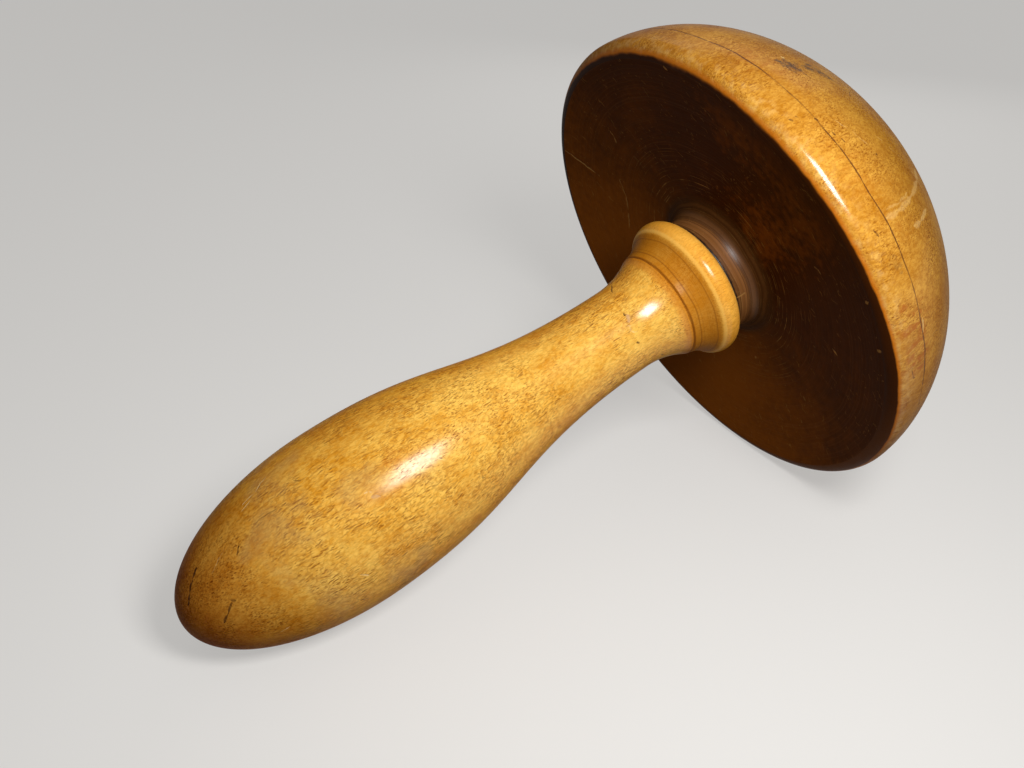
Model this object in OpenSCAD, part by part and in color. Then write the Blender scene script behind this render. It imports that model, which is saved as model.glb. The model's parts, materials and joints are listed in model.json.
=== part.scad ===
// Two-piece turned darning mushroom: a domed cap on a swelling handle, joined by a loose round peg.
// It lies as it rests on a table, on the edge of the cap and the swell of the handle.
// Millimetres, +Z up, origin on the table under the middle of the bounding box.

/* [Cap] */
// Largest diameter of the cap
cap_d = 82; // [70:1:100]
// Height from the rim up to the crown
cap_h = 33.8; // [26:0.2:44]
// Fullness of the dome, where 2 is an ellipse
cap_fullness = 1.88; // [1.7:0.02:2.4]
// Radius that rounds the edge of the rim
rim_round = 2.3; // [1.2:0.1:3.5]
// Depth of the hollowed underside, at the axis
dish_depth = 3.6; // [1.5:0.1:6]

/* [Boss under the cap] */
// Diameter of the boss that meets the handle
boss_d = 20.6; // [17:0.2:24]
// How far the face of the boss stands past the rim
boss_proud = 1.9; // [0:0.1:6]
// Fillet between the boss and the underside
boss_fillet = 3.2; // [1:0.1:4]

/* [Handle] */
// Length of the handle, from its joint face to its rounded end
handle_l = 97.2; // [85:0.2:125]
// Diameter of the swell, where the hand holds it
belly_d = 27.9; // [24:0.1:34]
// Distance from the joint face to the middle of the swell
belly_at = 68.6; // [60:0.1:76]
// Diameter of the waist
waist_d = 14.6; // [13.5:0.1:17]
// Distance from the joint face to the waist
waist_at = 15.7; // [15:0.1:20]
// How far towards the swell the waist stays slim, as a share of the way
waist_ease = 0.53; // [0.3:0.01:0.6]
// How far towards the waist the swell stays full, as a share of the way
belly_ease = 0.46; // [0.3:0.01:0.6]

/* [Collar of the handle] */
// Diameter over the rounded bead
bead_d = 24.8; // [22:0.1:30]
// Radius that rounds the bead
bead_r = 2.3; // [2:0.1:3]
// Diameter where the bead meets the joint line
bead_face_d = 21.8; // [21:0.1:22.6]
// How far past its widest place the bead turns, in degrees
bead_fall = 42; // [30:1:45]
// Slope at which the cove leaves the crest of the bead, in degrees
cove_start = 50; // [46:1:60]
// Distance from the joint face to the scribed ring
ring_at = 8; // [7:0.1:9]
// Diameter at the scribed ring
ring_d = 18.9; // [17.5:0.1:20]
// Step down past the scribed ring
ring_step = 0.15; // [0:0.05:0.4]
// Width of the scribed ring
ring_w = 0.4; // [0.2:0.05:0.6]
// Depth of the scribed ring
ring_cut = 0.3; // [0.15:0.05:0.5]

/* [Peg] */
// Diameter of the peg that joins the two pieces
peg_d = 9; // [7:0.1:9.5]
// Length of the peg inside the cap
peg_in_cap = 14; // [9:0.5:18]
// Length of the peg inside the handle
peg_in_handle = 15; // [9:0.5:18]
// Chamfer at both ends of the peg
peg_chamfer = 0.8; // [0.3:0.1:1.5]

/* [Clearances] */
// Open line between the boss and the handle
joint_gap = 0.3; // [0.2:0.05:0.6]
// Radial clearance of the peg in both holes
peg_clear = 0.05; // [0.02:0.01:0.1]
// Room past each end of the peg
peg_end_room = 0.5; // [0.3:0.1:1.5]

/* [Hidden] */
$fn = 96;

cap_r = cap_d / 2;
boss_r = boss_d / 2;
belly_r = belly_d / 2;
waist_r = waist_d / 2;
bead_centre = bead_d / 2 - bead_r;
bore_r = peg_d / 2 + peg_clear;
end_l = handle_l - belly_at;

// Along the axis, the face of the boss is at 0 and the crown is at the positive end.
rim_z = boss_proud;
edge_z = rim_z + rim_round;
dome_h = cap_h - rim_round;
face_z = -joint_gap;
belly_z = face_z - belly_at;

// The hollow of the underside is part of a sphere.
dish_r = ((cap_r - rim_round) ^ 2 + dish_depth ^ 2) / (2 * dish_depth);
dish_z = rim_z + dish_depth - dish_r;
fillet_x = boss_r + boss_fillet;
fillet_z = dish_z + sqrt((dish_r - boss_fillet) ^ 2 - fillet_x ^ 2);
fillet_turn = atan2(fillet_z - dish_z, fillet_x);

// How far each outline reaches in a direction, t degrees from square to the axis.
dome_q = cap_fullness / (cap_fullness - 1);
function dome_reach(across, along) =
    edge_z * along + (abs(cap_r * across) ^ dome_q + abs(dome_h * along) ^ dome_q) ^ (1 / dome_q);
function edge_reach(t) = (cap_r - rim_round) * cos(t) - edge_z * sin(t) + rim_round;
function grip_reach(t) =
    -belly_z * sin(t) + sqrt((belly_r * cos(t)) ^ 2 + (end_l * sin(t)) ^ 2);

// The resting tilt, at which the cap's edge and the handle reach down equally far.
function rest_tilt(low, high, turns) =
    turns == 0 ? (low + high) / 2
    : let (t = (low + high) / 2)
        edge_reach(t) > grip_reach(t) ? rest_tilt(t, high, turns - 1) : rest_tilt(low, t, turns - 1);
tilt = rest_tilt(0, 60, 40);
lift = edge_reach(tilt);
crown_x = dome_reach(sin(tilt), cos(tilt));
end_x = belly_z * cos(tilt) - sqrt((belly_r * sin(tilt)) ^ 2 + (end_l * cos(tilt)) ^ 2);
shift = -(crown_x + end_x) / 2;

// Points of an arc, as [radius, place along the axis].
function arc(x, z, r, from, to, steps) =
    [for (i = [0:steps]) let (a = from + (to - from) * i / steps) [x + r * cos(a), z + r * sin(a)]];

// Points of the dome, from the widest place up to the crown.
function dome(steps) =
    [for (i = [1:steps]) let (a = 90 * i / steps)
        [i == steps ? 0 : cap_r * cos(a) ^ (2 / cap_fullness), edge_z + dome_h * sin(a) ^ (2 / cap_fullness)]];

// Points of a smooth swell between two places with level ends.
function swell(z0, r0, z1, r1, steps) =
    let (slim_z = z0 + (z1 - z0) * waist_ease, full_z = z1 - (z1 - z0) * belly_ease)
    [for (i = [1:steps]) let (t = i / steps, s = 1 - t)
        [r0 * (s ^ 3 + 3 * s * s * t) + r1 * (3 * s * t * t + t ^ 3),
         z0 * s ^ 3 + 3 * slim_z * s * s * t + 3 * full_z * s * t * t + z1 * t ^ 3]];

module cap_outline() {
    polygon(concat(
        [[0, peg_in_cap + peg_end_room], [bore_r, peg_in_cap + peg_end_room], [bore_r, 0], [boss_r, 0]],
        arc(fillet_x, fillet_z, boss_fillet, 180, fillet_turn, 10),
        arc(0, dish_z, dish_r, fillet_turn, acos((cap_r - rim_round) / dish_r), 10),
        arc(cap_r - rim_round, edge_z, rim_round, -90, 0, 12),
        dome(44)
    ));
}

module handle_outline() {
    ring_z = face_z - ring_at;
    waist_z = face_z - waist_at;
    ring_r = ring_d / 2;
    flare_end = ring_r - ring_step;
    flare_l = waist_at - ring_at - ring_w / 2;
    flare_r = (flare_l ^ 2 + (flare_end - waist_r) ^ 2) / (2 * (flare_end - waist_r));
    flare_turn = asin(flare_l / flare_r);
    bead_turn = acos((bead_face_d / 2 - bead_centre) / bead_r);
    bead_z = face_z - bead_r * sin(bead_turn);
    crest = [bead_centre + bead_r * cos(bead_fall), bead_z - bead_r * sin(bead_fall)];
    // The cove leaves the crest steeply and flattens on its way to the ring.
    cove_fall = crest[0] - ring_r;
    cove_l = crest[1] - ring_z - ring_w / 2;
    cove_bend = cove_start - atan2(cove_fall, cove_l);
    cove_r = sqrt(cove_fall ^ 2 + cove_l ^ 2) / (2 * sin(cove_bend));
    cove_x = crest[0] + cove_r * cos(cove_start);
    cove_z = crest[1] - cove_r * sin(cove_start);
    hole_z = -peg_in_handle - peg_end_room;
    polygon(concat(
        [[0, hole_z], [bore_r, hole_z], [bore_r, face_z]],
        arc(bead_centre, bead_z, bead_r, bead_turn, -bead_fall, 16),
        arc(cove_x, cove_z, cove_r, 180 - cove_start, 180 - cove_start + 2 * cove_bend, 8),
        [[ring_r - ring_cut, ring_z]],
        arc(waist_r + flare_r, waist_z, flare_r, 180 - flare_turn, 180, 10),
        swell(waist_z, waist_r, belly_z, belly_r, 24),
        [for (i = [1:24]) let (a = 90 * i / 24) [i == 24 ? 0 : belly_r * cos(a), belly_z - end_l * sin(a)]]
    ));
}

module peg_outline() {
    peg_r = peg_d / 2;
    polygon([
        [0, -peg_in_handle], [peg_r - peg_chamfer, -peg_in_handle], [peg_r, -peg_in_handle + peg_chamfer],
        [peg_r, peg_in_cap - peg_chamfer], [peg_r - peg_chamfer, peg_in_cap], [0, peg_in_cap]
    ]);
}

// Lays a piece that stands on its axis down onto the table.
module lay_down() {
    translate([shift, 0, lift]) rotate([0, 90 - tilt, 0]) children();
}

module cap() {
    color("peru") lay_down() rotate_extrude() cap_outline();
}

module handle() {
    color("goldenrod") lay_down() rotate_extrude() handle_outline();
}

module peg() {
    color("burlywood") lay_down() rotate_extrude() peg_outline();
}

cap();
handle();
peg();
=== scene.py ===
import bmesh
import bpy
import json
from math import acos, asin, atan2, cos, degrees, hypot, pi, radians, sin, sqrt
from mathutils import Matrix, Vector

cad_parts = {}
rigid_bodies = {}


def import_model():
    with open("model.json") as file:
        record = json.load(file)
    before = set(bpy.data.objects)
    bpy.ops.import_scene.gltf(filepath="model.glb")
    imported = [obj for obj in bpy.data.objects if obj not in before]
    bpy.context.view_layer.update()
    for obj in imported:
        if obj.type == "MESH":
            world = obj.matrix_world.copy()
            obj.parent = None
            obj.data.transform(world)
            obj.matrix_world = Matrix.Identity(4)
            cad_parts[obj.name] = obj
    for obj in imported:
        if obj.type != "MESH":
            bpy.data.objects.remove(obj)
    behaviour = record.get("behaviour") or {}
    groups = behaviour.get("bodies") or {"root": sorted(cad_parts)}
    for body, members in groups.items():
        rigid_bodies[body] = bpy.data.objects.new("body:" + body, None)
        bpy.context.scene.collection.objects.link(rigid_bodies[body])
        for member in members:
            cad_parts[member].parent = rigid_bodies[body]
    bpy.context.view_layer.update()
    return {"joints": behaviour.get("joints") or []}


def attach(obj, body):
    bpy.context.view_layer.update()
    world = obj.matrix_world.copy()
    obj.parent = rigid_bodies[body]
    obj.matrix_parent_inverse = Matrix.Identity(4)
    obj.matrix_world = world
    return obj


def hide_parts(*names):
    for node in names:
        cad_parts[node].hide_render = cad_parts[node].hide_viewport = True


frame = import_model()
print("frame loaded")

mm = 0.001

# The line that both turned pieces share, from the joints of the part.
joints = {j["name"]: j for j in frame["joints"]}
jointAt = Vector(joints["cap_turn"]["pos_m"])
axisDir = Vector(joints["cap_pull"]["axis"]).normalized()
lean = atan2(axisDir.x, axisDir.z)
layDown = Matrix.Translation(jointAt) @ Matrix.Rotation(lean, 4, "Y")


# Small helpers that make nodes: a value is linked where it is a socket, and set where it is a number.

def feed(tree, socket, value):
    if isinstance(value, bpy.types.NodeSocket):
        tree.links.new(value, socket)
    elif value is not None:
        socket.default_value = value


def put(tree, kind, settings, inputs):
    made = tree.nodes.new("ShaderNode" + kind)
    for key, value in settings.items():
        setattr(made, key, value)
    for key, value in inputs.items():
        feed(tree, made.inputs[key], value)
    return made


def calc(tree, job, a, b=None, c=None, clamp=False):
    return put(tree, "Math", {"operation": job, "use_clamp": clamp}, {0: a, 1: b, 2: c}).outputs[0]


def vec(tree, job, a, b=None):
    made = put(tree, "VectorMath", {"operation": job}, {0: a, 1: b})
    return made.outputs["Value" if job in ("LENGTH", "DOT_PRODUCT") else "Vector"]


def stretch(tree, a, b):
    return put(tree, "VectorMath", {"operation": "SCALE"}, {0: a, "Scale": b}).outputs[0]


def ease(tree, value, low, high, start=0.0, end=1.0):
    return put(tree, "MapRange", {"interpolation_type": "SMOOTHSTEP"},
               {"Value": value, "From Min": low, "From Max": high, "To Min": start, "To Max": end}).outputs[0]


def blend(tree, amount, a, b, mode="MIX"):
    return put(tree, "Mix", {"data_type": "RGBA", "blend_type": mode}, {0: amount, 6: a, 7: b}).outputs[2]


def noise(tree, place, scale, detail=2.0, colour=False):
    made = put(tree, "TexNoise", {}, {"Vector": place, "Scale": scale, "Detail": detail, "Roughness": 0.55})
    return made.outputs["Color" if colour else "Fac"]


def strongest(tree, masks):
    whole = masks[0]
    for mask in masks[1:]:
        whole = calc(tree, "MAXIMUM", whole, mask)
    return whole


def startGroup(name, inputs, outputs):
    tree = bpy.data.node_groups.new(name, "ShaderNodeTree")
    for label, kind, value in inputs:
        made = tree.interface.new_socket(name=label, in_out="INPUT", socket_type="NodeSocket" + kind)
        if value is not None:
            made.default_value = value
    for label, kind in outputs:
        tree.interface.new_socket(name=label, in_out="OUTPUT", socket_type="NodeSocket" + kind)
    return tree, tree.nodes.new("NodeGroupInput").outputs, tree.nodes.new("NodeGroupOutput").inputs


def use(tree, group, inputs):
    made = tree.nodes.new("ShaderNodeGroup")
    made.node_tree = group
    for key, value in inputs.items():
        feed(tree, made.inputs[key], value)
    return made.outputs


# Where a point lies on the turned wood: millimetres, with z along the axis and 0 at the face of the boss.

def makeTurnedPlace():
    tree, given, out = startGroup("turned place", [], [
        ("Place", "Vector"), ("Along", "Float"), ("Radius", "Float")])
    spot = put(tree, "TexCoord", {}, {}).outputs["Object"]
    place = put(tree, "Mapping", {"vector_type": "TEXTURE"}, {
        "Vector": spot, "Location": jointAt, "Rotation": (0, lean, 0), "Scale": (mm, mm, mm)}).outputs[0]
    parts = put(tree, "SeparateXYZ", {}, {0: place}).outputs
    flat = put(tree, "CombineXYZ", {}, {0: parts[0], 1: parts[1]}).outputs[0]
    feed(tree, out["Place"], place)
    feed(tree, out["Along"], parts[2])
    feed(tree, out["Radius"], vec(tree, "LENGTH", flat))
    return tree


# Short flecks of the grain: cells drawn out along z, some left out, and all set wandering a little.

def makeFlecks():
    tree, given, out = startGroup("grain flecks", [
        ("Place", "Vector", None), ("Width", "Float", 0.5), ("Length", "Float", 2.0), ("Share", "Float", 0.5),
        ("Wander", "Float", 0.6)], [("Fleck", "Float")])
    drift = vec(tree, "SUBTRACT", noise(tree, given["Place"], 0.3, 2, colour=True), (0.5, 0.5, 0.5))
    moved = vec(tree, "ADD", given["Place"], stretch(tree, drift, given["Wander"]))
    size = put(tree, "CombineXYZ", {}, {0: given["Width"], 1: given["Width"], 2: given["Length"]}).outputs[0]
    cells = put(tree, "TexVoronoi", {"voronoi_dimensions": "3D", "feature": "F1"},
                {"Vector": vec(tree, "DIVIDE", moved, size), "Scale": 1.0}).outputs
    parts = put(tree, "SeparateColor", {}, {0: cells["Color"]}).outputs
    kept = calc(tree, "LESS_THAN", parts[0], given["Share"])
    shape = ease(tree, cells["Distance"], 0.48, 0.22)
    deep = calc(tree, "MULTIPLY_ADD", parts[1], 0.65, 0.35)
    feed(tree, out["Fleck"], calc(tree, "MULTIPLY", calc(tree, "MULTIPLY", shape, kept), deep))
    return tree


# Soft uneven tone, longer along z by Stretch.

def makeClouds():
    tree, given, out = startGroup("clouds", [
        ("Place", "Vector", None), ("Size", "Float", 8.0), ("Stretch", "Float", 2.0)], [("Value", "Float")])
    long = calc(tree, "MULTIPLY", given["Size"], given["Stretch"])
    size = put(tree, "CombineXYZ", {}, {0: given["Size"], 1: given["Size"], 2: long}).outputs[0]
    value = noise(tree, vec(tree, "DIVIDE", given["Place"], size), 1.0, 3)
    feed(tree, out["Value"], ease(tree, value, 0.32, 0.68))
    return tree


# A line once round the wood, at one height and radius, with a ragged edge.

def makeRingMark():
    tree, given, out = startGroup("ring mark", [
        ("Place", "Vector", None), ("Along", "Float", 0.0), ("Radius", "Float", 0.0),
        ("At Height", "Float", 0.0), ("At Radius", "Float", 0.0), ("Width", "Float", 0.3),
        ("Ragged", "Float", 0.1)], [("Mask", "Float")])
    up = calc(tree, "SUBTRACT", given["Along"], given["At Height"])
    side = calc(tree, "SUBTRACT", given["Radius"], given["At Radius"])
    far = vec(tree, "LENGTH", put(tree, "CombineXYZ", {}, {0: up, 1: side}).outputs[0])
    rough = calc(tree, "SUBTRACT", noise(tree, given["Place"], 0.9, 3), 0.5)
    off = calc(tree, "MULTIPLY_ADD", rough, calc(tree, "MULTIPLY", given["Ragged"], 3.0), far)
    feed(tree, out["Mask"], ease(tree, off, given["Width"], calc(tree, "MULTIPLY", given["Width"], 0.35)))
    return tree


# One scratch or crack between two places.

def makeStroke():
    tree, given, out = startGroup("stroke", [
        ("Place", "Vector", None), ("Start", "Vector", None), ("End", "Vector", None),
        ("Width", "Float", 0.2), ("Strength", "Float", 1.0), ("Others", "Float", 0.0)], [("Mask", "Float")])
    whole = vec(tree, "SUBTRACT", given["End"], given["Start"])
    here = vec(tree, "SUBTRACT", given["Place"], given["Start"])
    share = calc(tree, "DIVIDE", vec(tree, "DOT_PRODUCT", here, whole),
                 vec(tree, "DOT_PRODUCT", whole, whole), clamp=True)
    off = vec(tree, "LENGTH", vec(tree, "SUBTRACT", here, stretch(tree, whole, share)))
    taper = ease(tree, calc(tree, "ABSOLUTE", calc(tree, "SUBTRACT", share, 0.5)), 0.5, 0.2, 0.35, 1.0)
    wide = calc(tree, "MULTIPLY", given["Width"], taper)
    mask = ease(tree, off, wide, calc(tree, "MULTIPLY", wide, 0.3), 0.0, given["Strength"])
    feed(tree, out["Mask"], calc(tree, "MAXIMUM", mask, given["Others"]))
    return tree


# Fine lines left by the lathe, which follow one number, such as the height or the radius.

def makeLatheLines():
    tree, given, out = startGroup("lathe lines", [
        ("Number", "Float", 0.0), ("Place", "Vector", None), ("Pitch", "Float", 0.3)], [("Value", "Float")])
    sway = calc(tree, "MULTIPLY_ADD", noise(tree, given["Place"], 0.12, 1), 0.8, given["Number"])
    count = calc(tree, "DIVIDE", sway, given["Pitch"])
    lines = put(tree, "TexNoise", {"noise_dimensions": "1D"},
                {"W": count, "Scale": 1.0, "Detail": 4.0, "Roughness": 0.6})
    feed(tree, out["Value"], lines.outputs["Fac"])
    return tree


turnedPlace = makeTurnedPlace()
flecks = makeFlecks()
clouds = makeClouds()
ringMark = makeRingMark()
stroke = makeStroke()
latheLines = makeLatheLines()
print("shader groups made")


# Old beech: uneven golden tone, two sizes of grain fleck, and a height for the bump.

def makeAgedWood():
    tree, given, out = startGroup("aged wood", [
        ("Place", "Vector", None), ("Pale", "Color", None), ("Deep", "Color", None),
        ("Fleck Colour", "Color", None), ("Fleck Width", "Float", 0.5), ("Fleck Length", "Float", 2.0),
        ("Fleck Share", "Float", 0.5), ("Fleck Strength", "Float", 0.6), ("Dapple", "Float", 0.4)],
        [("Colour", "Color"), ("Fleck", "Float"), ("Height", "Float")])
    place = given["Place"]
    broad = use(tree, clouds, {"Place": place, "Size": 9.0, "Stretch": 2.2})["Value"]
    aside = vec(tree, "ADD", place, (31, 17, 5))
    close = use(tree, clouds, {"Place": aside, "Size": 2.4, "Stretch": 1.6})["Value"]
    # Pale cells with thin dark rays between them.
    bent = vec(tree, "ADD", place, stretch(tree, noise(tree, place, 0.9, 2, colour=True), 0.9))
    cells = ease(tree, noise(tree, vec(tree, "DIVIDE", bent, (0.5, 0.5, 1.0)), 1.0, 2), 0.36, 0.66, -0.5, 0.5)
    mixed = calc(tree, "MULTIPLY_ADD", close, 0.38, calc(tree, "MULTIPLY_ADD", broad, 0.38, 0.12))
    mixed = calc(tree, "MULTIPLY_ADD", cells, given["Dapple"], mixed, clamp=True)
    colour = blend(tree, mixed, given["Pale"], given["Deep"])
    net = put(tree, "TexVoronoi", {"feature": "DISTANCE_TO_EDGE"},
              {"Vector": vec(tree, "DIVIDE", bent, (0.7, 0.7, 1.5)), "Scale": 1.0})
    rays = ease(tree, net.outputs["Distance"], 0.12, 0.02, 0.0, calc(tree, "MULTIPLY", given["Dapple"], 0.9))
    long = use(tree, flecks, {"Place": place, "Width": given["Fleck Width"], "Length": given["Fleck Length"],
                              "Share": given["Fleck Share"], "Wander": 1.3})["Fleck"]
    fine = use(tree, flecks, {"Place": vec(tree, "ADD", place, (7, 3, 11)),
                              "Width": calc(tree, "MULTIPLY", given["Fleck Width"], 0.8),
                              "Length": calc(tree, "MULTIPLY", given["Fleck Length"], 0.4),
                              "Share": given["Fleck Share"], "Wander": 0.8})["Fleck"]
    crowd = ease(tree, noise(tree, vec(tree, "ADD", place, (3, 41, 23)), 0.16, 2), 0.34, 0.62, 0.4, 1.0)
    fleck = calc(tree, "MULTIPLY", strongest(tree, [rays, long, fine]), crowd)
    shown = calc(tree, "MULTIPLY", fleck, given["Fleck Strength"])
    colour = blend(tree, shown, colour, given["Fleck Colour"])
    feed(tree, out["Colour"], colour)
    feed(tree, out["Fleck"], fleck)
    sunk = calc(tree, "MULTIPLY_ADD", broad, 0.02, calc(tree, "MULTIPLY", fleck, -0.014))
    feed(tree, out["Height"], calc(tree, "MULTIPLY_ADD", close, 0.008, sunk))
    return tree


agedWood = makeAgedWood()


def woodFor(tree, place, c):
    return use(tree, agedWood, {
        "Place": place, "Pale": c["pale"], "Deep": c["deep"], "Fleck Colour": c["fleck"],
        "Fleck Width": c["fleckWidth"], "Fleck Length": c["fleckLength"], "Fleck Share": c["fleckShare"],
        "Fleck Strength": c["fleckStrength"], "Dapple": c["dapple"]})


# Places on the turned wood, from a height along the axis, a radius and a turn round it in degrees.

def at(z, r, turn):
    return (r * cos(radians(turn)), r * sin(radians(turn)), z)


# A sharp scratch sways a little and hardly breaks up. A smudge is loose and patchy.
scratchWay = {"waves": 0.8, "sway": 0.6, "grain": 1.6, "detail": 2, "gaps": (0.3, 0.5), "left": 0.55}
smudgeWay = {"waves": 0.5, "sway": 3.0, "grain": 1.1, "detail": 3, "gaps": (0.36, 0.62), "left": 0.15}


def strokeMasks(tree, place, marks, way=scratchWay):
    # each stroke joins the mask as soon as it is made, so that few values wait at once
    drift = vec(tree, "SUBTRACT", noise(tree, place, way["waves"], 2, colour=True), (0.5, 0.5, 0.5))
    shaky = vec(tree, "ADD", place, stretch(tree, drift, way["sway"]))
    whole = None
    for mark in marks:
        for start, end in zip(mark["path"], mark["path"][1:]):
            whole = use(tree, stroke, {
                "Place": shaky, "Start": at(*start), "End": at(*end), "Width": mark["wide"],
                "Strength": mark.get("strong", 1.0), "Others": whole})["Mask"]
    return calc(tree, "MULTIPLY", whole,
                ease(tree, noise(tree, place, way["grain"], way["detail"]), *way["gaps"], way["left"], 1.0))


# The side that faces the lamp, as a turn in degrees, and how far from it the painted shade comes in.
litSide = {"turn": 226, "shadeFrom": 0.92, "shadeTo": 0.35}


def shadeAwayFromLight(tree, place, colour, sideShade):
    # painted shade: the colour is darker and deeper orange away from the lit side
    outward = vec(tree, "NORMALIZE", vec(tree, "MULTIPLY", place, (1, 1, 0)))
    rubbedAndLit = vec(tree, "DOT_PRODUCT", outward, at(0, 1, litSide["turn"]))
    away = ease(tree, rubbedAndLit, litSide["shadeFrom"], litSide["shadeTo"])
    return blend(tree, away, colour, sideShade, "MULTIPLY")


# The varnish's gloss falls off between these two slants, down to this share of it.
coatFall = {"from": 0.36, "to": 0.76, "left": 0.03}


def varnish(tree, shader, weight, dull):
    # the coat thins out where it is seen edge on, and over what is dull
    edge = put(tree, "LayerWeight", {}, {"Blend": 0.5}).outputs["Facing"]
    kept = ease(tree, edge, coatFall["to"], coatFall["from"], weight * coatFall["left"], weight)
    kept = calc(tree, "MULTIPLY", kept, calc(tree, "SUBTRACT", 1.0, dull, clamp=True))
    feed(tree, shader.inputs["Coat Weight"], kept)


def newMaterial(name, settings):
    made = bpy.data.materials.new(name)
    made.use_nodes = True
    shader = made.node_tree.nodes["Principled BSDF"]
    for key, value in settings.items():
        shader.inputs[key].default_value = value
    return made, made.node_tree, shader


def finish(tree, shader, colour, roughness, height):
    feed(tree, shader.inputs["Base Color"], colour)
    feed(tree, shader.inputs["Roughness"], roughness)
    bump = put(tree, "Bump", {}, {"Strength": 1.0, "Distance": mm, "Height": height})
    feed(tree, shader.inputs["Normal"], bump.outputs[0])


# Bare wood, for the peg and for what the varnish never reached: both holes and both joint faces.
bareFinish = {
    "pale": (0.72, 0.50, 0.27, 1), "deep": (0.56, 0.36, 0.17, 1), "fleck": (0.34, 0.19, 0.08, 1),
    "rubbedAndLit": (0.40, 0.24, 0.11, 1), "rough": 0.7,
    "fleckWidth": 0.4, "fleckLength": 2.4, "fleckShare": 0.45, "fleckStrength": 0.6, "dapple": 0.3,
}


def makeBareWood(c):
    made, tree, shader = newMaterial("bare wood", {})
    here = use(tree, turnedPlace, {})
    place, along = here["Place"], here["Along"]
    wood = woodFor(tree, place, c)
    lines = use(tree, latheLines, {"Number": along, "Place": place, "Pitch": 0.5})["Value"]
    rub = ease(tree, noise(tree, vec(tree, "DIVIDE", place, (1.2, 1.2, 6.0)), 1.0, 3), 0.45, 0.7, 0.0, 0.6)
    colour = blend(tree, rub, wood["Colour"], c["rubbedAndLit"])
    height = calc(tree, "MULTIPLY_ADD", lines, 0.02, wood["Height"])
    finish(tree, shader, colour, calc(tree, "MULTIPLY_ADD", rub, -0.15, c["rough"]), height)
    return made


bareWood = makeBareWood(bareFinish)
print("bare wood made")

# Outlines, as (radius, place along the axis) in millimetres.

def arc(x, z, r, start, end, steps):
    turns = [start + (end - start) * i / steps for i in range(steps + 1)]
    return [(x + r * cos(radians(a)), z + r * sin(radians(a))) for a in turns]


def line(start, end, steps):
    return [(start[0] + (end[0] - start[0]) * i / steps, start[1] + (end[1] - start[1]) * i / steps)
            for i in range(steps + 1)]


def swell(start, end, pullStart, pullEnd, steps):
    # a level start and a level end, joined by one smooth curve
    (r0, z0), (r1, z1) = start, end
    points = []
    for i in range(1, steps + 1):
        t = i / steps
        s = 1 - t
        along = (z0 * s ** 3 + 3 * (z0 + (z1 - z0) * pullStart) * s * s * t
                 + 3 * (z1 - (z1 - z0) * pullEnd) * s * t * t + z1 * t ** 3)
        points.append((r0 * (s ** 3 + 3 * s * s * t) + r1 * (3 * s * t * t + t ** 3), along))
    return points


sharpFrom = 40  # degrees between two faces, from which the edge between them shows sharp


def turnOnLathe(name, outline, slices, body, node, finishes, pick):
    bm = bmesh.new()
    last = None
    for r, z in outline:
        spot = bm.verts.new((max(r, 0.0) * mm, 0, z * mm))
        if last and (spot.co - last.co).length > 1e-6:
            bm.edges.new((last, spot))
            last = spot
        elif last:
            bm.verts.remove(spot)
        else:
            last = spot
    bmesh.ops.spin(bm, geom=bm.verts[:] + bm.edges[:], cent=(0, 0, 0), axis=(0, 0, 1), angle=2 * pi,
                   steps=slices, use_merge=True, use_duplicate=False)
    bmesh.ops.remove_doubles(bm, verts=bm.verts[:], dist=1e-7)
    bmesh.ops.recalc_face_normals(bm, faces=bm.faces[:])
    for face in bm.faces:
        middle = face.calc_center_median() / mm
        face.material_index = pick(hypot(middle.x, middle.y), middle.z)
    bmesh.ops.transform(bm, matrix=layDown, verts=bm.verts[:])
    mesh = bpy.data.meshes.new(name)
    bm.to_mesh(mesh)
    bm.free()
    for paint in finishes:
        mesh.materials.append(paint)
    mesh.shade_smooth()
    mesh.set_sharp_from_angle(angle=radians(sharpFrom))
    piece = bpy.data.objects.new(name, mesh)
    bpy.context.scene.collection.objects.link(piece)
    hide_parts(node)
    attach(piece, body)
    print(name, len(mesh.polygons), "faces")


# The cap, turned as one piece with the boss under it.

capShape = {
    "width": 82, "height": 33.8, "fullness": 1.88, "rimRound": 2.3, "dish": 3.6,
    "bossWidth": 20.6, "bossProud": 1.9, "bossFillet": 3.2, "bossEdge": 0.25,
    "hole": 4.55, "holeDeep": 14.5, "holeEdge": 0.3, "slices": 240, "domeSteps": 110,
}


def capOutline(c):
    rim = c["width"] / 2 - c["rimRound"]
    edge = c["bossProud"] + c["rimRound"]
    boss, soft = c["bossWidth"] / 2, c["bossEdge"]
    hole, bottom, cut = c["hole"], c["holeDeep"], c["holeEdge"]
    dishR = (rim ** 2 + c["dish"] ** 2) / (2 * c["dish"])
    dishZ = c["bossProud"] + c["dish"] - dishR
    filletX = boss + c["bossFillet"]
    filletZ = dishZ + sqrt((dishR - c["bossFillet"]) ** 2 - filletX ** 2)
    filletTurn = degrees(atan2(filletZ - dishZ, filletX))
    tall = c["height"] - c["rimRound"]
    dome = []
    for i in range(1, c["domeSteps"] + 1):
        a = radians(90 * i / c["domeSteps"])
        r = 0 if i == c["domeSteps"] else c["width"] / 2 * cos(a) ** (2 / c["fullness"])
        dome.append((r, edge + tall * sin(a) ** (2 / c["fullness"])))
    return (line((0, bottom), (hole, bottom), 3)
            + line((hole, bottom), (hole, cut), 6)
            + line((hole + cut, 0), (boss - soft, 0), 8)
            + arc(boss - soft, soft, soft, -90, 0, 4)
            + line((boss, soft + 0.05), (boss, filletZ), 6)
            + arc(filletX, filletZ, c["bossFillet"], 180, filletTurn, 14)
            + arc(0, dishZ, dishR, filletTurn, degrees(acos(rim / dishR)), 60)
            + arc(rim, edge, c["rimRound"], -90, 0, 20) + dome)


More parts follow.
